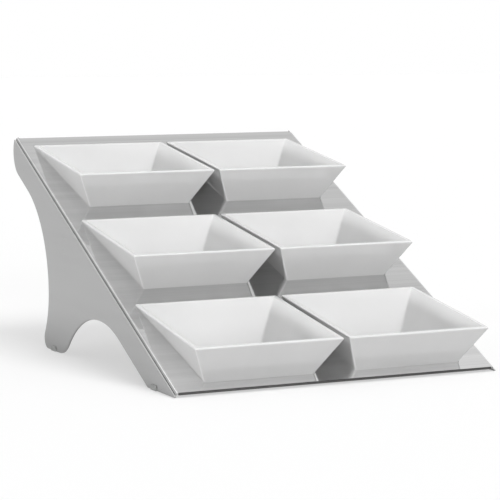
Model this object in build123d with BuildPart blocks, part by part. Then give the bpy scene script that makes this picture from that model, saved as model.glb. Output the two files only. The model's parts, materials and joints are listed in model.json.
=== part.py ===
from build123d import *
from math import cos, radians, sin, sqrt, tan
import os

# Buffet display stand: a sloping steel deck on two profiled side panels carries loose square bowls.
# Sizes are millimetres and degrees. X runs to the right, Y from the front to the back, Z up.
# The origin is on the table, under the middle of the whole stand.

# Bowl, one moulding
bowl_rim = 190.0
bowl_height = 60.0
wall_lean = 26.5
bowl_wall = 5.0
bowl_floor = 5.0
bowl_heel_round = 6.0
bowl_well_round = 8.0
rim_round = 1.5
foot_ring_width = 14.0
foot_ring_height = 1.5
foot_ring_corner = 8.0

# How the bowls are laid out on the deck
row_names = ["front", "middle", "back"]
column_names = ["left", "right"]
column_gap = 7.5
row_gap = 9.6
bowl_tilt = 9.3
rim_above_deck = 1.2
seat_clearance = 0.35
cutout_corner = 1.0
side_margin = 19.8
front_margin = 8.3
rear_margin = 26.4

# Deck, one folded sheet
deck_slope = 25.6
sheet = 1.5
bend_inner = 2.0
side_flange = 21.0
rear_flange = 12.0
hem_leaf = 10.0
hem_gap = 0.5
hem_above_table = 2.8
flange_end_round = 18.0
relief_width = 0.6
relief_length = 5.0

# Side panels
panel_thickness = 2.0
panel_gap = 0.5
panel_edge_drop = 3.5
panel_edge_break = 0.3
panel_above_table = 0.6
arm_end_radius = 34.0
arm_end_straight = 3.0
leg_setback = 134.0
leg_waist_height = 80.0
leg_flare_radius = 105.0
heel_radius = 13.0
toe_radius = 50.0
arch_height = 61.0
arch_radius = 165.0
tip_radius = 0.6

# Glides in the feet
glide_length = 17.4
glide_height = 7.0
glide_cheek = 1.2
glide_round = 2.4
glide_play = 0.3
groove_play = 0.1
notch_height = 3.0
front_glide_from_edge = 63.5
rear_glide_from_heel = 24.5

# Studs, washers and nuts that hold the panels to the deck
stud_count = 3
stud_diameter = 4.0
stud_drop = 14.0
front_stud_margin = 90.0
rear_stud_margin = 45.0
stud_end = 2.0
stud_hole_play = 0.5
washer_diameter = 10.0
nut_across_flats = 7.0
nut_height = 3.2
nut_play = 0.2

# Sizes that follow from those above
slope_cos = cos(radians(deck_slope))
slope_sin = sin(radians(deck_slope))
tilt_cos = cos(radians(bowl_tilt))
tilt_sin = sin(radians(bowl_tilt))
lean_cos = cos(radians(deck_slope - bowl_tilt))
lean_sin = sin(radians(deck_slope - bowl_tilt))
flare = tan(radians(wall_lean))
rim_round_inset = rim_round * tan(radians(45 + wall_lean / 2))
sharp_rim = bowl_rim + 2 * (rim_round_inset - rim_round)
bowl_base = sharp_rim - 2 * flare * bowl_height
bend_outer = bend_inner + sheet
hem_radius = sheet + hem_gap / 2
arm_depth = panel_edge_drop + arm_end_straight + arm_end_radius

column_pitch = bowl_rim + column_gap
row_pitch = (bowl_rim + row_gap) / lean_cos
first_back_rim = front_margin + bowl_rim * lean_cos
last_back_rim = first_back_rim + (len(row_names) - 1) * row_pitch
deck_length = last_back_rim + rear_margin
stand_width = (len(column_names) - 1) * column_pitch + bowl_rim + 2 * side_margin
deck_half_width = stand_width / 2 - panel_thickness - panel_gap
flat_half_width = deck_half_width - bend_outer
deck_front_height = hem_above_table + hem_radius * (1 + slope_cos - slope_sin)

# The stand's reach in front of and behind the deck's front edge sets where its middle is.
back_rim_run = first_back_rim * slope_cos - rim_above_deck * slope_sin
front_reach = back_rim_run - (bowl_rim - rim_round) * tilt_cos + rim_round * (tilt_sin - 1)
rear_reach = (
    (deck_length - arm_end_radius) * slope_cos + (arm_depth - arm_end_radius) * slope_sin + arm_end_radius
)
front_edge_y = -(front_reach + rear_reach) / 2


def on_deck(along, above):
    """Y and Z of a point at a distance along the slope and above the deck's face."""
    y = front_edge_y + along * slope_cos - above * slope_sin
    z = deck_front_height + along * slope_sin + above * slope_cos
    return y, z


# Planes: the deck's face (x across, y up the slope), its lengthwise section and its rear end
deck_origin = (0, front_edge_y, deck_front_height)
deck_face = Plane(origin=deck_origin, x_dir=(1, 0, 0), z_dir=(0, -slope_sin, slope_cos))
deck_section = Plane(origin=deck_origin, x_dir=(0, slope_cos, slope_sin), z_dir=(1, 0, 0))
deck_rear_end = Plane(
    origin=(0, *on_deck(deck_length, 0)), x_dir=(1, 0, 0), z_dir=(0, -slope_cos, -slope_sin)
)

# Where a bowl's flared walls, with the seat clearance, cross the deck's face
rim_middle_run = bowl_rim / 2 * lean_cos
rim_middle_above = rim_above_deck + bowl_rim / 2 * lean_sin
seat_half = sharp_rim / 2 + seat_clearance
back_wall_depth = (rim_middle_above - seat_half * lean_sin) / (lean_cos - flare * lean_sin)
front_wall_depth = (rim_middle_above + seat_half * lean_sin) / (lean_cos + flare * lean_sin)
cutout_back_half = seat_half - flare * back_wall_depth
cutout_front_half = seat_half - flare * front_wall_depth
cutout_back = cutout_back_half * lean_cos - back_wall_depth * lean_sin - rim_middle_run
cutout_front = -cutout_front_half * lean_cos - front_wall_depth * lean_sin - rim_middle_run

# Places that repeat: the bowls on the deck and the studs along its side edges
bowl_places = [
    (f"bowl_{row_name}_{column_name}", first_back_rim + row * row_pitch, (column - 0.5) * column_pitch)
    for row, row_name in enumerate(row_names)
    for column, column_name in enumerate(column_names)
]
stud_pitch = (deck_length - rear_stud_margin - front_stud_margin) / (stud_count - 1)
stud_places = [(front_stud_margin + index * stud_pitch, -stud_drop) for index in range(stud_count)]

os.makedirs("parts", exist_ok=True)

# Deck: one sheet with a hemmed front edge, a folded rear edge and folded side edges
with BuildPart() as deck:
    # Both side edges: the bend and the fold below it, along the whole deck
    side_bend = (flat_half_width, -bend_outer)
    with BuildSketch(deck_rear_end):
        with BuildLine():
            CenterArc(side_bend, bend_outer, 90, -90)
            Polyline(
                (deck_half_width, -bend_outer),
                (deck_half_width, -side_flange),
                (deck_half_width - sheet, -side_flange),
                (deck_half_width - sheet, -bend_outer),
            )
            CenterArc(side_bend, bend_inner, 0, 90)
            Line((flat_half_width, -sheet), (flat_half_width, 0))
        make_face()
        mirror(about=Plane.YZ)
    extrude(amount=deck_length - hem_radius)
    # The folds end in a quarter round, inside the round ends of the side panels.
    with BuildSketch(deck_section):
        with Locations((deck_length - flange_end_round, -side_flange)):
            Rectangle(flange_end_round, flange_end_round, align=(Align.MIN, Align.MIN))
        with Locations((deck_length - flange_end_round, flange_end_round - side_flange)):
            Circle(flange_end_round, mode=Mode.SUBTRACT)
    extrude(amount=deck_half_width, both=True, mode=Mode.SUBTRACT)
    # The flat middle with the hem in front and the rear edge folded down
    rear_bend = (deck_length - bend_outer, -bend_outer)
    hem_centre = (hem_radius, -hem_radius)
    hem_end = hem_radius + hem_leaf
    with BuildSketch(deck_section):
        with BuildLine():
            Line((hem_radius, 0), (deck_length - bend_outer, 0))
            CenterArc(rear_bend, bend_outer, 90, -90)
            Polyline(
                (deck_length, -bend_outer),
                (deck_length, -rear_flange),
                (deck_length - sheet, -rear_flange),
                (deck_length - sheet, -bend_outer),
            )
            CenterArc(rear_bend, bend_inner, 0, 90)
            Line((deck_length - bend_outer, -sheet), (hem_radius, -sheet))
            CenterArc(hem_centre, hem_gap / 2, 90, 180)
            Polyline(
                (hem_radius, -sheet - hem_gap),
                (hem_end, -sheet - hem_gap),
                (hem_end, -2 * hem_radius),
                (hem_radius, -2 * hem_radius),
            )
            CenterArc(hem_centre, hem_radius, 270, -180)
        make_face()
    extrude(amount=flat_half_width, both=True)
    # The side edges are cut level with the hem where the slope runs out to the table.
    split(bisect_by=Plane.XY.offset(hem_above_table), keep=Keep.TOP)
    # A slit at each rear corner lets the two folds bend freely.
    with BuildSketch(deck_face):
        with Locations((0, deck_length)):
            with GridLocations(2 * flat_half_width - relief_width, 0, 2, 1):
                Rectangle(relief_width, 2 * relief_length)
    extrude(amount=-side_flange, mode=Mode.SUBTRACT)
    # One cut-out for each bowl, as wide as its flared walls are at the deck
    for place_name, back_rim, across in bowl_places:
        with BuildSketch(deck_face) as cutout:
            with BuildLine():
                Polyline(
                    (across - cutout_front_half, back_rim + cutout_front),
                    (across + cutout_front_half, back_rim + cutout_front),
                    (across + cutout_back_half, back_rim + cutout_back),
                    (across - cutout_back_half, back_rim + cutout_back),
                    close=True,
                )
            make_face()
            fillet(cutout.vertices(), radius=cutout_corner)
        extrude(amount=-sheet, mode=Mode.SUBTRACT)
    # Holes in the folds for the weld studs
    with BuildSketch(deck_section):
        with Locations(*stud_places):
            Circle((stud_diameter + stud_hole_play) / 2)
    extrude(amount=deck_half_width, both=True, mode=Mode.SUBTRACT)
deck.part.label = "deck_plate"
export_step(deck.part, "parts/deck_plate.step")

# Outline of a side panel, worked out from tangent lines and arcs in the YZ plane.
# The arm hangs under the deck's edge. The leg's two arcs meet at its waist, where it is upright.
arm_end_centre = on_deck(deck_length - arm_end_radius, arm_end_radius - arm_depth)
leg_y = front_edge_y + deck_length * slope_cos - leg_setback
leg_rise = (leg_waist_height - deck_front_height) * slope_cos
leg_radius = ((leg_y - front_edge_y) * slope_sin - leg_rise - arm_depth) / (1 - slope_sin)
leg_centre = (leg_y + leg_radius, leg_waist_height)
leg_top = (leg_centre[0] - leg_radius * slope_sin, leg_centre[1] + leg_radius * slope_cos)
flare_centre = (leg_y + leg_flare_radius, leg_waist_height)
heel_z = panel_above_table + heel_radius
flare_and_heel = leg_flare_radius + heel_radius
heel_y = flare_centre[0] - sqrt(flare_and_heel**2 - (leg_waist_height - heel_z) ** 2)
heel_share = leg_flare_radius / flare_and_heel
heel_top = (
    flare_centre[0] + (heel_y - flare_centre[0]) * heel_share,
    flare_centre[1] + (heel_z - flare_centre[1]) * heel_share,
)
arch_z = arch_height - arch_radius
arch_run = (arm_depth + arch_radius + (arch_z - deck_front_height) * slope_cos) / slope_sin
arch_y = front_edge_y + arch_run
arch_start = (arch_y - arch_radius * slope_sin, arch_z + arch_radius * slope_cos)
toe_z = panel_above_table + toe_radius
toe_y = arch_y + sqrt((arch_radius + toe_radius) ** 2 - (toe_z - arch_z) ** 2)
toe_share = arch_radius / (arch_radius + toe_radius)
arch_end = (arch_y + (toe_y - arch_y) * toe_share, arch_z + (toe_z - arch_z) * toe_share)
front_foot_along = (
    panel_above_table - deck_front_height + arm_depth * slope_cos
) / slope_sin
front_foot_back = on_deck(front_foot_along, -arm_depth)
tip_along = (panel_above_table - deck_front_height + panel_edge_drop * slope_cos) / slope_sin
tip = on_deck(tip_along, -panel_edge_drop)
arm_end_top = on_deck(deck_length, -panel_edge_drop)
arm_end_start = on_deck(deck_length, arm_end_radius - arm_depth)
glide_places = {
    "front": front_edge_y + front_glide_from_edge,
    "rear": heel_y - rear_glide_from_heel,
}
notch_length = glide_length + 2 * glide_play


def make_panel(inner_x, outer_x):
    """One side panel between two upright planes, with its outer edges broken."""
    with BuildPart() as panel:
        with BuildSketch(Plane.YZ.offset(min(inner_x, outer_x))) as outline:
            with BuildLine():
                Polyline(tip, arm_end_top, arm_end_start)
                arm_end = CenterArc(arm_end_centre, arm_end_radius, deck_slope, -90)
                Line(arm_end @ 1, leg_top)
                ThreePointArc(
                    leg_top,
                    (
                        leg_centre[0] - leg_radius * cos(radians(45 - deck_slope / 2)),
                        leg_centre[1] + leg_radius * sin(radians(45 - deck_slope / 2)),
                    ),
                    (leg_y, leg_waist_height),
                )
                TangentArc((leg_y, leg_waist_height), heel_top, tangent=(0, -1))
                heel = RadiusArc(heel_top, (heel_y, panel_above_table), heel_radius)
                Line(heel @ 1, (toe_y, panel_above_table))
                RadiusArc((toe_y, panel_above_table), arch_end, toe_radius)
                ThreePointArc(arch_end, (arch_y, arch_height), arch_start)
                Polyline(arch_start, front_foot_back, tip)
            make_face()
            front_tip = outline.vertices().sort_by(Axis.X)[0]
            fillet(front_tip, radius=tip_radius)
            for glide_y in glide_places.values():
                with Locations((glide_y, panel_above_table)):
                    Rectangle(notch_length, 2 * notch_height, mode=Mode.SUBTRACT)
        extrude(amount=panel_thickness)
        outer_face = panel.faces().sort_by(Axis.X)[0 if outer_x < inner_x else -1]
        chamfer(outer_face.edges(), length=panel_edge_break)
    return panel.part


# Side panels, mirror images of each other
side_signs = {"left": -1, "right": 1}
for side_name, side in side_signs.items():
    outer_x = side * stand_width / 2
    side_panel = make_panel(outer_x - side * panel_thickness, outer_x)
    side_panel.label = f"side_panel_{side_name}"
    export_step(side_panel, f"parts/{side_panel.label}.step")


def stud_planes(depth):
    """Planes on the stud axes, a depth in from the panels' inner faces, facing the stand's middle."""
    planes = []
    for side in side_signs.values():
        for along, above in stud_places:
            place = (side * (stand_width / 2 - panel_thickness - depth), *on_deck(along, above))
            planes.append(Plane(origin=place, x_dir=(0, slope_cos, slope_sin), z_dir=(-side, 0, 0)))
    return planes


# Weld studs on the panels' inner faces
with BuildPart() as studs:
    with BuildSketch(*stud_planes(0)):
        Circle(stud_diameter / 2)
    extrude(amount=panel_gap + sheet + nut_height + stud_end)
studs.part.label = "weld_studs"
export_step(studs.part, "parts/weld_studs.step")

# Spacer washers between the panels and the folded edges
with BuildPart() as washers:
    with BuildSketch(*stud_planes(0)):
        Circle(washer_diameter / 2)
        Circle((stud_diameter + stud_hole_play) / 2, mode=Mode.SUBTRACT)
    extrude(amount=panel_gap)
washers.part.label = "spacer_washers"
export_step(washers.part, "parts/spacer_washers.step")

# Hex nuts on the inside of the folded edges
with BuildPart() as nuts:
    with BuildSketch(*stud_planes(panel_gap + sheet)):
        RegularPolygon(nut_across_flats / 2, side_count=6, major_radius=False)
        Circle((stud_diameter + nut_play) / 2, mode=Mode.SUBTRACT)
    extrude(amount=nut_height)
nuts.part.label = "hex_nuts"
export_step(nuts.part, "parts/hex_nuts.step")


def make_glide(middle_x, middle_y):
    """A glide that fills a foot's notch and grips the panel above it with two cheeks."""
    width = panel_thickness + 2 * (groove_play + glide_cheek)
    groove_floor = panel_above_table + notch_height
    with BuildPart() as glide:
        with BuildSketch(Plane.YZ.offset(middle_x - width / 2)) as cheek:
            with Locations((middle_y, glide_height / 2)):
                Rectangle(glide_length, glide_height)
            fillet(cheek.vertices().group_by(Axis.Y)[-1], radius=glide_round)
        extrude(amount=width)
        with BuildSketch(Plane.XY.offset(groove_floor)):
            with Locations((middle_x, middle_y)):
                Rectangle(panel_thickness + 2 * groove_play, glide_length)
        extrude(amount=glide_height, mode=Mode.SUBTRACT)
    return glide.part


# Glides, one in each foot
for side_name, side in side_signs.items():
    for end_name, glide_y in glide_places.items():
        foot_glide = make_glide(side * (stand_width - panel_thickness) / 2, glide_y)
        foot_glide.label = f"foot_glide_{end_name}_{side_name}"
        export_step(foot_glide, f"parts/{foot_glide.label}.step")


def flared_block(rim_plane, rim_width, depth):
    """A square block with flat flared sides under a rim plane: two crossed trapezoid sections."""
    across = Plane(origin=rim_plane.origin, x_dir=rim_plane.x_dir, z_dir=-rim_plane.y_dir)
    lengthwise = Plane(origin=rim_plane.origin, x_dir=rim_plane.y_dir, z_dir=rim_plane.x_dir)
    half_rim = rim_width / 2
    half_base = half_rim - flare * depth
    with BuildPart() as block:
        for section, mode in ((across, Mode.ADD), (lengthwise, Mode.INTERSECT)):
            with BuildSketch(section):
                with BuildLine():
                    Polyline(
                        (-half_rim, 0), (half_rim, 0), (half_base, -depth), (-half_base, -depth), close=True
                    )
                make_face()
            extrude(amount=rim_width, both=True, mode=mode)
    return block.part


def make_bowl(rim_plane):
    """A square bowl with flared walls of even width, hung from the plane of its rim."""
    upward = Axis(rim_plane.origin, rim_plane.z_dir)
    outside = flared_block(rim_plane, sharp_rim, bowl_height)
    well = flared_block(rim_plane, bowl_rim - 2 * bowl_wall, bowl_height - bowl_floor)
    with BuildPart() as bowl:
        add(outside)
        fillet(bowl.faces().sort_by(upward)[0].edges(), radius=bowl_heel_round)
        add(well, mode=Mode.SUBTRACT)
        fillet(bowl.faces().filter_by(upward).sort_by(upward)[1].edges(), radius=bowl_well_round)
        fillet(bowl.faces().sort_by(upward)[-1].edges(), radius=rim_round)
        with BuildSketch(rim_plane.offset(-bowl_height)):
            foot_recess = bowl_base - 2 * foot_ring_width
            RectangleRounded(foot_recess, foot_recess, foot_ring_corner)
        extrude(amount=foot_ring_height, mode=Mode.SUBTRACT)
    return bowl.part


# Bowls, each in its cut-out with the rim's back edge just above the deck
for bowl_name, back_rim, across in bowl_places:
    back_y, back_z = on_deck(back_rim, rim_above_deck)
    rim_plane = Plane(
        origin=(across, back_y - bowl_rim / 2 * tilt_cos, back_z - bowl_rim / 2 * tilt_sin),
        x_dir=(1, 0, 0),
        z_dir=(0, -tilt_sin, tilt_cos),
    )
    loose_bowl = make_bowl(rim_plane)
    loose_bowl.label = bowl_name
    export_step(loose_bowl, f"parts/{bowl_name}.step")
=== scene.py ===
import json
import math

import bpy
import numpy as np
from bpy.props import FloatProperty, FloatVectorProperty, IntProperty, PointerProperty
from mathutils import Matrix, Vector


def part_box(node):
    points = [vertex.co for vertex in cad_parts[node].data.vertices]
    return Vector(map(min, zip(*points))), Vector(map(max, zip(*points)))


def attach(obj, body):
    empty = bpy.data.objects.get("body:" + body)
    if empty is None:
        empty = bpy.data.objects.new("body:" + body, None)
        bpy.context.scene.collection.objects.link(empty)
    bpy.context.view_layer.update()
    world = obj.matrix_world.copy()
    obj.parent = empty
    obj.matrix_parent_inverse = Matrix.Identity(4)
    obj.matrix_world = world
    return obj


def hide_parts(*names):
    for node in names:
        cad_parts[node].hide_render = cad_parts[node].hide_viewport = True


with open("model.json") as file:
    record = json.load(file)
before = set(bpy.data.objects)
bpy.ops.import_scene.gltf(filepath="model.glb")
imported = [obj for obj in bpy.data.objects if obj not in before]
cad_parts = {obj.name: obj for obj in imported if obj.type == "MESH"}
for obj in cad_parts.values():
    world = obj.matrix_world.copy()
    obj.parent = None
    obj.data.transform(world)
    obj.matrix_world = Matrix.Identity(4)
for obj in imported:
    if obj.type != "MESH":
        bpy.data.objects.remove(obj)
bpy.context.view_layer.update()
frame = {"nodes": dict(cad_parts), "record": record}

bl_info = {
    "name": "Buffet display stand",
    "version": (1, 0, 0),
    "blender": (4, 5, 0),
    "location": "3D View > Sidebar > Buffet",
    "description": "Glazed bowls, steel and foot glides of a sloping buffet stand, in its studio",
    "category": "Object",
}

ROWS = ("front", "middle", "back")
COLUMNS = ("left", "right")
BOWLS = [f"bowl_{row}_{column}" for row in ROWS for column in COLUMNS]
GLIDES = [f"foot_glide_{end}_{side}" for end in ("front", "rear") for side in COLUMNS]
STAND = "stand"

# The nose of the deck's hem: its depth from the front and the blend at its border, in metres
NOSE_DEPTH = 0.0009
NOSE_BLEND = (-0.0002, 0.0001)
# The nose's colour is painted shade: the dark reflection under the deck's front edge, painted into
# the steel
NOSE_PAINTED_SHADE = (0.16, 0.16, 0.158)
NOSE_ROUGHNESS = 0.38

# The painted light on the steel behind the nose: how far back it goes, in metres, and how bright it
# starts
PAINTED_LIGHT_REACH = 0.13
PAINTED_LIGHT_GAIN = 1.25

# The grain of each steel along X, Y and Z, in marks per metre
DECK_GRAIN = (5, 900, 900)
PANEL_GRAIN = (900, 12, 900)
FIXING_GRAIN = (300, 300, 300)

# The lean, as the normal's Z, where the painted highlight on up-facing cut edges begins and where
# it is full
HIGHLIGHT_LEAN = (0.5, 0.7)

# A bowl's glaze ends this far above its foot, in metres
GLAZE_LINE = 0.0002

# A ring of a bowl is rounded by at most this share of its half width
ROUNDEST = 0.6

# The camera's film in millimetres, and how far it sees in metres
FILM_WIDTH = 36.0
SIGHT = 200.0


# Sizes and colours a user would change


class BowlSizes(bpy.types.PropertyGroup):
    """Form of one square bowl, as the mould gives it."""

    height: FloatProperty(
        name="Height", description="Rim to foot", default=0.060, unit="LENGTH"
    )
    wall_lean: FloatProperty(
        name="Wall lean",
        description="Lean of the four walls from upright",
        default=math.radians(26.5),
        subtype="ANGLE",
    )
    wall: FloatProperty(
        name="Wall", description="Width of the rim", default=0.005, unit="LENGTH"
    )
    floor: FloatProperty(
        name="Floor", description="Floor thickness", default=0.005, unit="LENGTH"
    )
    rim_round: FloatProperty(
        name="Rim round",
        description="Radius of the rim's outer edge",
        default=0.0015,
        unit="LENGTH",
    )
    inner_rim_round: FloatProperty(
        name="Inner rim round",
        description="Radius of the rim's inner edge",
        default=0.0007,
        unit="LENGTH",
    )
    rim_corner: FloatProperty(
        name="Rim corner", description="Corner radius at the rim", default=0.0014, unit="LENGTH"
    )
    base_corner: FloatProperty(
        name="Base corner", description="Corner radius at the foot", default=0.0026, unit="LENGTH"
    )
    heel_round: FloatProperty(
        name="Heel round", description="Radius under the outer wall", default=0.006, unit="LENGTH"
    )
    well_round: FloatProperty(
        name="Well round",
        description="Radius round the inside floor",
        default=0.008,
        unit="LENGTH",
    )
    ring_width: FloatProperty(
        name="Foot ring",
        description="Width of the unglazed foot ring",
        default=0.014,
        unit="LENGTH",
    )
    ring_height: FloatProperty(
        name="Ring height", description="Depth inside the foot ring", default=0.0015, unit="LENGTH"
    )
    ring_round: FloatProperty(
        name="Ring round",
        description="Radius of the ring's inner edges",
        default=0.0006,
        unit="LENGTH",
    )
    tilt: FloatProperty(
        name="Tilt",
        description="Fall of the rim to the front when seated",
        default=math.radians(9.3),
        subtype="ANGLE",
    )
    sag: FloatProperty(
        name="Sag",
        description="Hollow of each wall's middle from firing",
        default=0.0003,
        unit="LENGTH",
    )


class GlideSizes(bpy.types.PropertyGroup):
    """Form of the moulded glides under the feet."""

    groove: FloatProperty(
        name="Groove", description="Width of the slot for the panel", default=0.0022, unit="LENGTH"
    )
    sole: FloatProperty(name="Sole", description="Sole thickness", default=0.0036, unit="LENGTH")
    end_round: FloatProperty(
        name="End round", description="Radius of the cheeks' ends", default=0.0024, unit="LENGTH"
    )
    rib_depth: FloatProperty(
        name="Rib depth", description="Depth between the grip ribs", default=0.0005, unit="LENGTH"
    )
    rib_rise: FloatProperty(
        name="Rib rise", description="Height that the ribs fade over", default=0.0012, unit="LENGTH"
    )
    ribs: IntProperty(name="Ribs", description="Grip ribs along the sole", default=4, min=1)


class Finishes(bpy.types.PropertyGroup):
    """Colours and gloss of the stand's materials."""

    deck_colour: FloatVectorProperty(
        name="Deck steel",
        description="Bright steel of the deck",
        default=(0.67, 0.67, 0.67),
        subtype="COLOR",
    )
    panel_colour: FloatVectorProperty(
        name="Panel steel",
        description="Satin steel of the sides",
        default=(0.64, 0.64, 0.64),
        subtype="COLOR",
    )
    # Painted highlight: the colour that the sides' cut edges take where they face up
    edge_highlight_colour: FloatVectorProperty(
        name="Cut edge",
        description="Polished top edge of the sides",
        default=(0.80, 0.80, 0.80),
        subtype="COLOR",
    )
    fixing_colour: FloatVectorProperty(
        name="Fixing steel",
        description="Studs, washers and nuts",
        default=(0.52, 0.52, 0.51),
        subtype="COLOR",
    )
    glaze_colour: FloatVectorProperty(
        name="Glaze",
        description="White glaze of the bowls",
        default=(0.70, 0.70, 0.70),
        subtype="COLOR",
    )
    bisque_colour: FloatVectorProperty(
        name="Bisque",
        description="Unglazed foot ring",
        default=(0.74, 0.71, 0.66),
        subtype="COLOR",
    )
    glide_colour: FloatVectorProperty(
        name="Elastomer",
        description="Foot glides",
        default=(0.30, 0.305, 0.30),
        subtype="COLOR",
    )
    deck_roughness: FloatProperty(
        name="Deck roughness",
        description="Blur of the deck's reflections",
        default=0.045,
        min=0,
        max=1,
        subtype="FACTOR",
    )
    panel_roughness: FloatProperty(
        name="Panel roughness",
        description="Blur of the panels' reflections",
        default=0.24,
        min=0,
        max=1,
        subtype="FACTOR",
    )
    fixing_roughness: FloatProperty(
        name="Fixing roughness",
        description="Blur of the fixings' reflections",
        default=0.3,
        min=0,
        max=1,
        subtype="FACTOR",
    )


class StudioSettings(bpy.types.PropertyGroup):
    """Camera, lights and floor of the studio."""

    camera_place: FloatVectorProperty(
        name="Camera",
        description="Where the camera stands",
        default=(-1.072232, -2.367180, 0.387497),
        subtype="TRANSLATION",
        unit="LENGTH",
    )
    camera_yaw: FloatProperty(
        name="Yaw",
        description="Turn of the view to the right",
        default=math.radians(24.59),
        subtype="ANGLE",
    )
    camera_pitch: FloatProperty(
        name="Pitch",
        description="Downward look of the view",
        default=math.radians(5.52),
        subtype="ANGLE",
    )
    camera_roll: FloatProperty(
        name="Roll", description="Roll of the view", default=math.radians(-0.50), subtype="ANGLE"
    )
    focal_length: FloatProperty(
        name="Lens",
        description="Focal length on a film 36 mm wide",
        default=143.985,
        unit="CAMERA",
    )
    sky: FloatProperty(name="Sky", description="Brightness of the white room", default=0.78)
    left_sky: FloatProperty(
        name="Left side", description="Brightness of the room on the left", default=0.49
    )
    dim_side: FloatProperty(
        name="Dim side", description="Brightness of the room behind the camera", default=0.0
    )
    key_power: FloatProperty(
        name="Key", description="Power of the soft overhead light", default=1.8
    )
    key_from: FloatVectorProperty(
        name="Key from",
        description="Where the overhead light comes from",
        default=(0.28, -0.5, 0.82),
        subtype="XYZ",
    )
    side_power: FloatProperty(
        name="Side", description="Power of the low light from the left", default=2.35
    )
    side_from: FloatVectorProperty(
        name="Side from",
        description="Where the left light comes from",
        default=(-0.98, -0.14, 0.015),
        subtype="XYZ",
    )
    front_power: FloatProperty(
        name="Front", description="Power of the low light from the front", default=1.85
    )
    front_from: FloatVectorProperty(
        name="Front from",
        description="Where the front light comes from",
        default=(-0.1, -1.0, 0.1),
        subtype="XYZ",
    )
    rim_power: FloatProperty(
        name="Rim", description="Power of the light that edges the rims", default=0.06
    )
    rim_from: FloatVectorProperty(
        name="Rim from",
        description="Where the edging light comes from",
        default=(-0.32, 0.5, 0.80),
        subtype="XYZ",
    )
    light_spread: FloatProperty(
        name="Spread",
        description="Softness of the overhead and front lights",
        default=math.radians(40),
        subtype="ANGLE",
    )
    side_spread: FloatProperty(
        name="Side spread",
        description="Softness of the left light",
        default=math.radians(9),
        subtype="ANGLE",
    )
    floor_colour: FloatVectorProperty(
        name="Floor",
        description="Pale studio floor",
        default=(0.45, 0.45, 0.45),
        subtype="COLOR",
    )
    floor_glow: FloatProperty(
        name="Floor glow", description="Light that the floor throws up at the stand", default=0.15
    )
    floor_white: FloatProperty(
        name="Floor white", description="Glow of the floor as the camera sees it", default=0.49
    )


# Mesh helpers


def make_piece(name, points, faces, materials, face_slots=None):
    """A smooth mesh object from an array of points and a list of face arrays."""
    mesh = bpy.data.meshes.new(name)
    corners = [face for group in faces for face in group.tolist()]
    mesh.from_pydata(points.tolist(), [], corners)
    mesh.validate()
    for material in materials:
        mesh.materials.append(material)
    if face_slots is not None:
        mesh.polygons.foreach_set("material_index", face_slots.astype(np.int32))
    mesh.polygons.foreach_set("use_smooth", np.ones(len(mesh.polygons), bool))
    mesh.update()
    piece = bpy.data.objects.new(name, mesh)
    bpy.context.scene.collection.objects.link(piece)
    return piece


def ring_quads(rings, around, turned_over=False):
    """Quads between neighbouring rings of points, where each ring is closed on itself.

    A point's number is its ring's number times the points around, plus its place in the ring.
    """
    step = np.arange(around)
    turn = np.roll(step, -1)
    row = (np.arange(rings - 1) * around)[:, None]
    corners = [row + step, row + turn, row + around + turn, row + around + step]
    if turned_over:
        corners = corners[:1] + corners[:0:-1]
    return np.stack(corners, -1).reshape(-1, 4)


def fan(centre, ring, turned_over=False):
    """Triangles from one point to each side of a closed ring of points."""
    sides = [ring, np.roll(ring, -1)]
    if turned_over:
        sides.reverse()
    return np.stack([np.full(len(ring), centre), *sides], -1)


def rounded_corner(before, corner, after, radius, steps=7):
    """Points of the arc that rounds a corner of a profile: from one tangent point to the other.

    The arc's centre lies on the corner's bisector, at radius / sin(half the corner's angle). The
    arm from the centre turns evenly: it is the sum of the arms to the two tangent points, each
    times the sine of the angle left or done, over the sine of the whole angle.
    """
    before, corner, after = (np.asarray(point, float) for point in (before, corner, after))
    inward = (before - corner) / np.linalg.norm(before - corner)
    onward = (after - corner) / np.linalg.norm(after - corner)
    half_angle = 0.5 * math.acos(float(np.clip(inward @ onward, -1, 1)))
    bisector = (inward + onward) / np.linalg.norm(inward + onward)
    centre = corner + bisector * radius / math.sin(half_angle)
    first_arm = corner + inward * radius / math.tan(half_angle) - centre
    last_arm = corner + onward * radius / math.tan(half_angle) - centre
    sweep = math.pi - 2 * half_angle
    done = np.linspace(0, 1, steps + 1)[:, None]
    arms = np.sin((1 - done) * sweep) * first_arm + np.sin(done * sweep) * last_arm
    return centre + arms / math.sin(sweep)


def cosine_shares(steps):
    """Shares between 0 and 1, both left out, that lie closer together towards both ends.

    Each is half of one minus the cosine of an angle, which rises evenly to half a turn.
    """
    return 0.5 - 0.5 * np.cos(np.linspace(0, math.pi, steps + 2)[1:-1])


def spaced(start, end, steps):
    """Points between two points of a profile, closer together towards both ends."""
    return np.asarray(start) + cosine_shares(steps)[:, None] * (np.asarray(end) - np.asarray(start))


def rounded_square_path(corner_steps=8, side_steps=14):
    """Directions for a square with round corners, anticlockwise.

    A ring of half width h and corner radius r is (h - r) times the first array plus r times the
    second. The first array holds the corner centres' signs, and runs along each side between
    them. The second holds unit directions, which turn only at the corners.
    """
    quarters = np.arange(4)[:, None] * (math.pi / 2)
    turns = np.linspace(0, math.pi / 2, corner_steps + 1)[None, :]
    diagonals = quarters + math.pi / 4
    signs = math.sqrt(2) * np.stack([np.cos(diagonals), np.sin(diagonals)], -1)
    corner_centre = np.repeat(signs, corner_steps + 1, axis=1)
    corner_way = np.stack([np.cos(quarters + turns), np.sin(quarters + turns)], -1)
    share = cosine_shares(side_steps)[None, :, None]
    side_centre = signs + share * (np.roll(signs, -1, axis=0) - signs)
    side_way = np.repeat(corner_way[:, -1:, :], side_steps, axis=1)
    centre = np.concatenate([corner_centre, side_centre], axis=1).reshape(-1, 2)
    way = np.concatenate([corner_way, side_way], axis=1).reshape(-1, 2)
    return centre, way


# Material helpers: each adds nodes to a tree and gives the socket with their result


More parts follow.
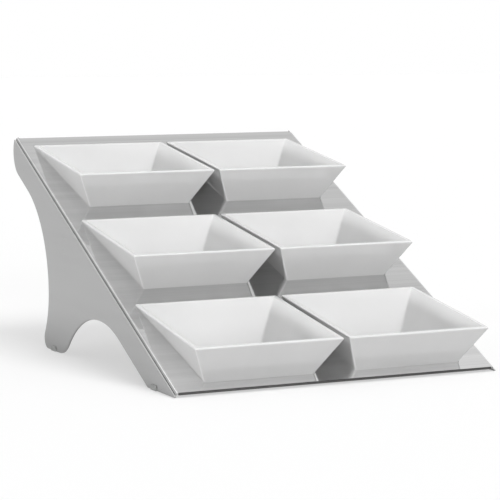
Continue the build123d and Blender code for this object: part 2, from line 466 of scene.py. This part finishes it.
def new_material(name):
    """A material with an emptied node tree, its output and its shader."""
    material = bpy.data.materials.new(name)
    material.use_nodes = True
    tree = material.node_tree
    tree.nodes.clear()
    output = tree.nodes.new("ShaderNodeOutputMaterial")
    shader = tree.nodes.new("ShaderNodeBsdfPrincipled")
    tree.links.new(shader.outputs["BSDF"], output.inputs["Surface"])
    return material, tree, shader


def put(tree, value, socket):
    """Links a socket's value to an input, or sets the input to a plain value."""
    if isinstance(value, bpy.types.NodeSocket):
        tree.links.new(value, socket)
    else:
        socket.default_value = value


def add_coordinates(tree, kind):
    """The X, Y and Z of a place (kind Object), a normal (Normal) or a direction (Generated)."""
    coordinates = tree.nodes.new("ShaderNodeTexCoord")
    parts = tree.nodes.new("ShaderNodeSeparateXYZ")
    tree.links.new(coordinates.outputs[kind], parts.inputs["Vector"])
    return parts.outputs


def add_noise(tree, scale, detail=2.0, roughness=0.5):
    """Noise on the object's own coordinates: its scale is in marks per metre along each axis."""
    coordinates = tree.nodes.new("ShaderNodeTexCoord")
    mapping = tree.nodes.new("ShaderNodeMapping")
    mapping.inputs["Scale"].default_value = scale
    noise = tree.nodes.new("ShaderNodeTexNoise")
    noise.inputs["Scale"].default_value = 1.0
    noise.inputs["Detail"].default_value = detail
    noise.inputs["Roughness"].default_value = roughness
    tree.links.new(coordinates.outputs["Object"], mapping.inputs["Vector"])
    tree.links.new(mapping.outputs["Vector"], noise.inputs["Vector"])
    return noise.outputs["Fac"]


def add_range(tree, value, low, high, from_low=0.3, from_high=0.7):
    """Maps a value, by default the usual spread of a noise, to a range of values."""
    span = tree.nodes.new("ShaderNodeMapRange")
    span.inputs["From Min"].default_value = from_low
    span.inputs["From Max"].default_value = from_high
    span.inputs["To Min"].default_value = low
    span.inputs["To Max"].default_value = high
    tree.links.new(value, span.inputs["Value"])
    return span.outputs["Result"]


def add_mix(tree, share, usual, other, kind):
    """Goes from the usual value to the other as the share rises from 0 to 1."""
    mix = tree.nodes.new("ShaderNodeMix")
    mix.data_type = kind
    put(tree, share, mix.inputs["Factor"])
    put(tree, usual, mix.inputs["A"])
    put(tree, other, mix.inputs["B"])
    return mix.outputs["Result"]


def add_math(tree, operation, *values):
    """Arithmetic on sockets and plain values."""
    node = tree.nodes.new("ShaderNodeMath")
    node.operation = operation
    for value, socket in zip(values, node.inputs):
        put(tree, value, socket)
    return node.outputs["Value"]


def add_tint(tree, noise, colour, low, high):
    """The colour, from low to high times its brightness as a noise rises."""
    darkest = (*[channel * low for channel in colour], 1)
    lightest = (*[min(channel * high, 1) for channel in colour], 1)
    return add_mix(tree, add_range(tree, noise, 0, 1), darkest, lightest, "RGBA")


def add_shade(tree, tint, level):
    """A tint from another node, times a level."""
    shade = tree.nodes.new("ShaderNodeVectorMath")
    shade.operation = "SCALE"
    tree.links.new(tint, shade.inputs[0])
    tree.links.new(level, shade.inputs["Scale"])
    return shade.outputs["Vector"]


def add_bumps(tree, shader, layers):
    """Bumps one on another: each layer is a noise and the depth in metres that it stands for."""
    normal = None
    for height, depth in layers:
        bump = tree.nodes.new("ShaderNodeBump")
        bump.inputs["Strength"].default_value = 1.0
        bump.inputs["Distance"].default_value = depth
        tree.links.new(height, bump.inputs["Height"])
        if normal is not None:
            tree.links.new(normal, bump.inputs["Normal"])
        normal = bump.outputs["Normal"]
    tree.links.new(normal, shader.inputs["Normal"])


def add_for_camera(tree, usual, seen):
    """One value for the light that reaches the stand and another for what the camera sees."""
    path = tree.nodes.new("ShaderNodeLightPath")
    return add_mix(tree, path.outputs["Is Camera Ray"], usual, seen, "FLOAT")


# Finishes


def add_painted_edge_highlight(tree, tint, colour):
    """Painted highlight: brighter steel where it faces up, on the side panels' cut edge."""
    lean = add_coordinates(tree, "Normal")["Z"]
    facing_up = add_range(tree, lean, 0, 1, *HIGHLIGHT_LEAN)
    return add_mix(tree, facing_up, tint, (*colour, 1), "RGBA")


def add_painted_front_light(tree, tint, nose_at):
    """Painted light: the steel's colour brightens evenly towards the deck's front edge."""
    place = add_coordinates(tree, "Object")["Y"]
    gain = add_range(tree, place, PAINTED_LIGHT_GAIN, 1.0, nose_at, nose_at + PAINTED_LIGHT_REACH)
    return add_shade(tree, tint, gain)


def add_rough_nose_painted_shade(tree, tint, blur, nose_at):
    """Rougher steel on the nose of the hem, with painted shade: its darker colour stands for the
    dark reflection under the deck's front edge.
    """
    place = add_coordinates(tree, "Object")["Y"]
    border = [nose_at + side for side in NOSE_BLEND]
    nose = add_range(tree, place, 1.0, 0.0, *border)
    tint = add_mix(tree, nose, tint, (*NOSE_PAINTED_SHADE, 1), "RGBA")
    blur = add_mix(tree, nose, blur, NOSE_ROUGHNESS, "FLOAT")
    return tint, blur


def steel(name, colour, roughness, grain, uneven=1.0, nose_at=None, edge=None):
    """Rolled steel: fine streaks and broad bands along the grain, waves and cloudy wiping marks.

    The streaks tint the steel and blur it, the bands shade it, and the clouds blur it a little.
    Uneven scales all of these but the clouds, and nose_at is the Y where a hem's nose ends: the
    colour gets painted light towards it and painted shade on the nose. edge is the colour of a
    painted highlight where the steel faces up.
    """
    material, tree, shader = new_material(name)
    streaks = add_noise(tree, grain, detail=3.0, roughness=0.6)
    bands = add_noise(tree, tuple(marks / 9 for marks in grain))
    clouds = add_noise(tree, (9, 9, 9))
    waves = add_noise(tree, (4.0, 7.0, 7.0), detail=0.0)
    contrast = 0.045 * uneven
    tint = add_tint(tree, streaks, colour, 1 - contrast, 1 + contrast)
    tint = add_shade(tree, tint, add_range(tree, bands, 1 - 0.08 * uneven, 1 + 0.02 * uneven))
    sharpest, softest = roughness * (1 - 0.25 * uneven), roughness * (1 + 0.3 * uneven)
    streaked = add_range(tree, streaks, sharpest, softest)
    blur = add_math(tree, "MULTIPLY", streaked, add_range(tree, clouds, 0.93, 1.08))
    # Painted highlight on the cut edges that face up
    if edge is not None:
        tint = add_painted_edge_highlight(tree, tint, edge)
    if nose_at is not None:
        # Painted light: the deck's colour brightens towards its front edge
        tint = add_painted_front_light(tree, tint, nose_at)
        # Painted shade: the hem's nose is darkened to stand for the dark reflection under the front
        # edge
        tint, blur = add_rough_nose_painted_shade(tree, tint, blur, nose_at)
    shader.inputs["Metallic"].default_value = 1.0
    tree.links.new(tint, shader.inputs["Base Color"])
    tree.links.new(blur, shader.inputs["Roughness"])
    depths = [(waves, 0.0002), (bands, 0.000003), (streaks, 0.000001)]
    add_bumps(tree, shader, [(noise, depth * uneven) for noise, depth in depths])
    return material


def glaze(name, colour):
    """White glaze: deep gloss, faintly cloudy, pooled a little and with a fine orange peel."""
    material, tree, shader = new_material(name)
    clouds = add_noise(tree, (14, 14, 14), detail=3.0)
    peel = add_noise(tree, (260, 260, 260), detail=1.0)
    pooling = add_noise(tree, (30, 30, 30), detail=1.0)
    tree.links.new(add_tint(tree, clouds, colour, 0.975, 1.02), shader.inputs["Base Color"])
    tree.links.new(add_range(tree, clouds, 0.07, 0.12), shader.inputs["Roughness"])
    shader.inputs["IOR"].default_value = 1.52
    shader.inputs["Coat Weight"].default_value = 0.25
    shader.inputs["Coat Roughness"].default_value = 0.05
    add_bumps(tree, shader, [(pooling, 0.00012), (peel, 0.000008)])
    return material


def bisque(name, colour):
    """Unglazed foot: matt, slightly warm and gritty."""
    material, tree, shader = new_material(name)
    grit = add_noise(tree, (900, 900, 900), detail=3.0)
    clouds = add_noise(tree, (40, 40, 40))
    tree.links.new(add_tint(tree, clouds, colour, 0.93, 1.05), shader.inputs["Base Color"])
    tree.links.new(add_range(tree, grit, 0.62, 0.85), shader.inputs["Roughness"])
    add_bumps(tree, shader, [(grit, 0.00006)])
    return material


def elastomer(name, colour):
    """Moulded elastomer: matt, slightly cloudy, with a fine texture."""
    material, tree, shader = new_material(name)
    clouds = add_noise(tree, (180, 180, 180))
    fine = add_noise(tree, (2500, 2500, 2500))
    tree.links.new(add_tint(tree, clouds, colour, 0.92, 1.06), shader.inputs["Base Color"])
    tree.links.new(add_range(tree, fine, 0.42, 0.6), shader.inputs["Roughness"])
    shader.inputs["Subsurface Weight"].default_value = 0.25
    shader.inputs["Subsurface Radius"].default_value = (0.002, 0.002, 0.002)
    add_bumps(tree, shader, [(fine, 0.00002)])
    return material


# Pieces


class BUFFET_OT_steel(bpy.types.Operator):
    """Finishes the deck, the side panels and the fixings in steel"""

    bl_idname = "buffet.steel"
    bl_label = "Steel parts"

    def execute(self, context):
        look = context.scene.buffet_finishes
        deck_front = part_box("deck_plate")[0][1]
        finish = {
            "deck_steel": steel(
                "bright_deck_steel",
                look.deck_colour,
                look.deck_roughness,
                DECK_GRAIN,
                # Behind the hem's nose the deck gets painted light, and on the nose painted shade
                nose_at=deck_front + NOSE_DEPTH,
            ),
            "panel_steel": steel(
                "satin_panel_steel",
                look.panel_colour,
                look.panel_roughness,
                PANEL_GRAIN,
                uneven=0.3,
                # The sides' up-facing cut edges get a painted highlight
                edge=look.edge_highlight_colour,
            ),
            "fixing_steel": steel(
                "plain_fixing_steel", look.fixing_colour, look.fixing_roughness, FIXING_GRAIN
            ),
        }
        for part in frame["record"]["subparts"]:
            if part["material_slot"] in finish:
                node_materials = frame["nodes"][part["node"]].data.materials
                node_materials.clear()
                node_materials.append(finish[part["material_slot"]])
        return {"FINISHED"}


def bowl_profile(sizes, rim):
    """Half widths and heights of half a bowl's section, with its rim at height 0.

    It runs from the middle of the underside out over the foot ring, up the outer wall, over the
    rim and down to the middle of the well, as straight runs with an arc at each corner between
    them. The outer wall's line is set so that the arc at its top reaches half the rim's width.
    """
    flare = math.tan(sizes.wall_lean)
    inset = sizes.rim_round * math.tan(math.pi / 4 + sizes.wall_lean / 2)
    outer = rim / 2 + inset - sizes.rim_round
    inner = rim / 2 - sizes.wall
    well = sizes.height - sizes.floor
    foot = outer - flare * sizes.height
    ring = foot - sizes.ring_width
    hollow = sizes.height - sizes.ring_height
    corners = [
        ((0, -hollow), None),
        ((ring, -hollow), sizes.ring_round),
        ((ring, -sizes.height), sizes.ring_round),
        ((foot, -sizes.height), sizes.heel_round),
        ((outer, 0), sizes.rim_round),
        ((inner, 0), sizes.inner_rim_round),
        ((inner - flare * well, -well), sizes.well_round),
        ((0, -well), None),
    ]
    points_on_runs = [6, 1, 3, 10, 2, 10, 8]
    arcs = [
        rounded_corner(before, corner, after, radius)
        for (before, _), (corner, radius), (after, _) in zip(corners, corners[1:], corners[2:])
    ]
    ends = [np.array([corners[0][0]]), *arcs, np.array([corners[-1][0]])]
    runs = [
        spaced(start[-1], end[0], count)
        for start, end, count in zip(ends, ends[1:], points_on_runs)
    ]
    stretches = [runs[0]]
    for arc, run in zip(arcs, runs[1:]):
        stretches += [arc, run]
    return np.concatenate(stretches).T


def bowl_surface(sizes, rim):
    """One bowl in its own frame, rim plane at z = 0 and the rim's middle at the origin.

    Each point of the profile is carried round a square whose corner radius grows with the depth.
    The wall's middle is drawn in by the sag times one minus the square of the place along the
    side, times the sine of half a turn times the share of the depth.
    """
    half, height = bowl_profile(sizes, rim)
    depth = np.clip(-height / sizes.height, 0, 1)
    radius = sizes.rim_corner + (sizes.base_corner - sizes.rim_corner) * depth
    radius = np.minimum(radius, half * ROUNDEST)
    centre, way = rounded_square_path()
    along = 1 - np.abs(centre).min(axis=1) ** 2
    draw = sizes.sag * np.sin(math.pi * depth)[:, None] * along[None, :]
    flat = (half - radius)[:, None, None] * centre + (radius[:, None] - draw)[:, :, None] * way
    rings, around, _ = flat.shape
    z = np.repeat(height[:, None, None], around, axis=1)
    grid = np.concatenate([flat, z], axis=-1).reshape(-1, 3)
    underside, well = [0, 0, sizes.ring_height - sizes.height], [0, 0, sizes.floor - sizes.height]
    points = np.concatenate([grid, [underside, well]])
    quads = ring_quads(rings, around)
    bottom = fan(len(grid), np.arange(around), turned_over=True)
    top = fan(len(grid) + 1, np.arange(len(grid) - around, len(grid)))
    on_ring = height < -sizes.height + GLAZE_LINE
    quad_slots = np.repeat((on_ring[:-1] & on_ring[1:]).astype(int), around)
    slots = np.concatenate([quad_slots, np.zeros(2 * around, int)])
    return points, [quads, bottom, top], slots


class BUFFET_OT_bowls(bpy.types.Operator):
    """Makes the six glazed bowls and seats each where its solid is"""

    bl_idname = "buffet.bowls"
    bl_label = "Glazed bowls"

    def execute(self, context):
        sizes = context.scene.buffet_bowls
        look = context.scene.buffet_finishes
        white = glaze("white_glaze", look.glaze_colour)
        foot = bisque("unglazed_foot", look.bisque_colour)
        lean, fall = math.cos(sizes.tilt), math.sin(sizes.tilt)
        seat = np.array([[1, 0, 0], [0, lean, -fall], [0, fall, lean]])
        for node_name in BOWLS:
            low, high = (np.array(corner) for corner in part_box(node_name))
            points, faces, slots = bowl_surface(sizes, high[0] - low[0])
            points = points @ seat.T
            points += (low + high) / 2 - (points.min(0) + points.max(0)) / 2
            body = node_name  # each bowl is a body of its own
            piece = make_piece("glazed_" + node_name, points, faces, [white, foot], slots)
            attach(piece, body)
            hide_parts(node_name)
        return {"FINISHED"}


def glide_surface(sizes, low, high):
    """One glide: a channel section carried along the foot, with ribs.

    The section is a closed line of width and height with the groove for the panel in it. Along
    the foot its sole rises by the rib depth, and its cheeks draw in by half of that, times half
    of one plus the cosine of the rib phase. Its top follows a quarter circle at both ends.
    """
    width, length, tall = high - low
    half, slot = width / 2, sizes.groove / 2
    edge, lip, nick = 0.0006, 0.0008, 0.0002
    steps_per_rib = 16
    corners = [(-half, 0), (half, 0), (half, tall), (slot, tall), (slot, sizes.sole)]
    corners += [(-slot, sizes.sole), (-slot, tall), (-half, tall)]
    rounds = [edge, edge, lip, nick, nick, nick, nick, lip]
    section = np.concatenate(
        [
            rounded_corner(before, corner, after, radius, steps=4)
            for before, corner, after, radius in zip(
                np.roll(corners, 1, axis=0), corners, np.roll(corners, -1, axis=0), rounds
            )
        ]
    )
    place = np.linspace(-length / 2, length / 2, steps_per_rib * sizes.ribs + 1)
    valley = 0.5 + 0.5 * np.cos(2 * math.pi * sizes.ribs * (place / length + 0.5))
    over = np.clip(np.abs(place) - (length / 2 - sizes.end_round), 0, sizes.end_round)
    top = tall - sizes.end_round + np.sqrt(sizes.end_round**2 - over**2)
    x = np.repeat(section[None, :, 0], len(place), axis=0)
    z = np.repeat(section[None, :, 1], len(place), axis=0)
    outer = np.abs(x) > half - edge
    x = x - np.where(outer, np.sign(x) * sizes.rib_depth * 0.5 * valley[:, None], 0)
    lift = sizes.rib_depth * valley[:, None] * np.clip(1 - z / sizes.rib_rise, 0, 1)
    above = np.clip((z - sizes.sole) / (tall - sizes.sole), 0, 1)
    z = np.where(above > 0, sizes.sole + above * (top[:, None] - sizes.sole), z + lift)
    y = np.repeat(place[:, None], len(section), axis=1)
    middle = (low + high) / 2
    points = np.stack([x + middle[0], y + middle[1], z + low[2]], -1).reshape(-1, 3)
    quads = ring_quads(len(place), len(section), turned_over=True)
    front_end = np.arange(len(section))
    rear_end = len(points) - 1 - front_end
    return points, [quads, front_end[None, :], rear_end[None, :]]


class BUFFET_OT_glides(bpy.types.Operator):
    """Makes the four moulded glides in the feet"""

    bl_idname = "buffet.glides"
    bl_label = "Foot glides"

    def execute(self, context):
        sizes = context.scene.buffet_glides
        soft = elastomer("glide_elastomer", context.scene.buffet_finishes.glide_colour)
        for node_name in GLIDES:
            low, high = (np.array(corner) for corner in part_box(node_name))
            points, faces = glide_surface(sizes, low, high)
            piece = make_piece("moulded_" + node_name, points, faces, [soft])
            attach(piece, STAND)
            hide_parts(node_name)
        return {"FINISHED"}


# Studio


def studio_floor(colour, glow, white):
    """A wide round floor of pale acrylic lit from below: rings of points at growing radii."""
    material, tree, shader = new_material("studio_floor")
    shader.inputs["Base Color"].default_value = (*colour, 1)
    shader.inputs["Roughness"].default_value = 0.9
    shader.inputs["Specular IOR Level"].default_value = 0.1
    shader.inputs["Emission Color"].default_value = (1, 1, 1, 1)
    tree.links.new(add_for_camera(tree, glow, white), shader.inputs["Emission Strength"])
    around = 96
    turn = np.linspace(0, 2 * math.pi, around + 1)[:-1]
    radii = np.array([0.5, 1, 2, 4, 8, 16, 40])
    x = radii[:, None] * np.cos(turn)[None, :]
    y = radii[:, None] * np.sin(turn)[None, :]
    grid = np.stack([x, y, np.zeros_like(x)], -1).reshape(-1, 3)
    points = np.concatenate([grid, [[0, 0, 0]]])
    quads = ring_quads(len(radii), around, turned_over=True)
    middle = fan(len(grid), np.arange(around))
    floor = make_piece("studio_floor", points, [quads, middle], [material])


def studio_world(settings):
    """A white room, dark low down in front of the stand and bright overhead and behind it.

    It brightens from the dim side's level as the direction's Y plus 0.9 times its Z goes from
    -0.4 to 0.45, and from the left side's level to the sky's as its X goes from -0.5 to 0.2. The
    camera itself sees plain white.
    """
    world = bpy.data.worlds.new("white_room")
    world.use_nodes = True
    bpy.context.scene.world = world
    tree = world.node_tree
    tree.nodes.clear()
    output = tree.nodes.new("ShaderNodeOutputWorld")
    background = tree.nodes.new("ShaderNodeBackground")
    background.inputs["Color"].default_value = (1, 1, 1, 1)
    way = add_coordinates(tree, "Generated")
    height = add_math(tree, "MULTIPLY_ADD", way["Z"], 0.9, way["Y"])
    front = add_range(tree, height, settings.dim_side, 1.0, -0.4, 0.45)
    left = add_range(tree, way["X"], settings.left_sky, settings.sky, -0.5, 0.2)
    level = add_math(tree, "MULTIPLY", front, left)
    tree.links.new(add_for_camera(tree, level, 1.0), background.inputs["Strength"])
    tree.links.new(background.outputs["Background"], output.inputs["Surface"])


def soft_sun(name, toward, spread, power, in_gloss):
    """A wide soft light from far off, which comes from a direction and may show in gloss."""
    light = bpy.data.lights.new(name, "SUN")
    light.angle = spread
    light.energy = power
    lamp = bpy.data.objects.new(name, light)
    lamp.rotation_euler = Vector(toward).to_track_quat("Z", "Y").to_euler()
    lamp.visible_glossy = in_gloss
    bpy.context.scene.collection.objects.link(lamp)


def studio_camera(settings):
    """The camera: its back turns by yaw and pitch, and its right and up then turn by roll."""
    yaw, pitch, roll = settings.camera_yaw, settings.camera_pitch, settings.camera_roll
    level = math.cos(pitch)
    back = Vector((-math.sin(yaw) * level, -math.cos(yaw) * level, math.sin(pitch)))
    across = Vector((math.cos(yaw), -math.sin(yaw), 0))
    upright = back.cross(across)
    right = across * math.cos(roll) + upright * math.sin(roll)
    up = upright * math.cos(roll) - across * math.sin(roll)
    lens = bpy.data.cameras.new("camera")
    lens.lens = settings.focal_length
    lens.sensor_width = FILM_WIDTH
    lens.clip_end = SIGHT
    camera = bpy.data.objects.new("camera", lens)
    turn = Matrix((right, up, back)).transposed().to_4x4()
    camera.matrix_world = Matrix.Translation(Vector(settings.camera_place)) @ turn
    bpy.context.scene.collection.objects.link(camera)
    bpy.context.scene.camera = camera


class BUFFET_OT_stage(bpy.types.Operator):
    """Sets up the floor, the lights and the camera"""

    bl_idname = "buffet.stage"
    bl_label = "Studio"

    def execute(self, context):
        studio = context.scene.buffet_studio
        spread = studio.light_spread
        studio_floor(studio.floor_colour, studio.floor_glow, studio.floor_white)
        studio_world(studio)
        soft_sun("key_light", studio.key_from, spread, studio.key_power, False)
        soft_sun("side_light", studio.side_from, studio.side_spread, studio.side_power, False)
        soft_sun("front_light", studio.front_from, spread, studio.front_power, True)
        soft_sun("rim_light", studio.rim_from, spread / 2, studio.rim_power, True)
        studio_camera(studio)
        context.scene.view_settings.view_transform = "Standard"
        return {"FINISHED"}


class BUFFET_PT_sidebar(bpy.types.Panel):
    """Lists the stand's pieces, sizes and finishes in the sidebar"""

    bl_label = "Buffet display stand"
    bl_space_type = "VIEW_3D"
    bl_region_type = "UI"
    bl_category = "Buffet"

    def draw(self, context):
        for operator in OPERATORS:
            self.layout.operator(operator.bl_idname)
        for group in GROUPS:
            box = self.layout.box()
            settings = getattr(context.scene, group)
            for name in settings.bl_rna.properties.keys():
                if name not in ("rna_type", "name"):
                    box.prop(settings, name)


OPERATORS = (BUFFET_OT_steel, BUFFET_OT_bowls, BUFFET_OT_glides, BUFFET_OT_stage)
GROUPS = {
    "buffet_bowls": BowlSizes,
    "buffet_glides": GlideSizes,
    "buffet_finishes": Finishes,
    "buffet_studio": StudioSettings,
}


def register():
    """Adds the classes, and gives each scene its settings."""
    for kind in (*GROUPS.values(), *OPERATORS, BUFFET_PT_sidebar):
        bpy.utils.register_class(kind)
    for name, kind in GROUPS.items():
        setattr(bpy.types.Scene, name, PointerProperty(type=kind))


def unregister():
    """Takes the settings and the classes away again."""
    for name in GROUPS:
        delattr(bpy.types.Scene, name)
    for kind in (BUFFET_PT_sidebar, *reversed(OPERATORS), *reversed(GROUPS.values())):
        bpy.utils.unregister_class(kind)


def main():
    register()
    bpy.ops.buffet.steel()
    bpy.ops.buffet.bowls()
    bpy.ops.buffet.glides()
    bpy.ops.buffet.stage()


if __name__ == "__main__":
    main()
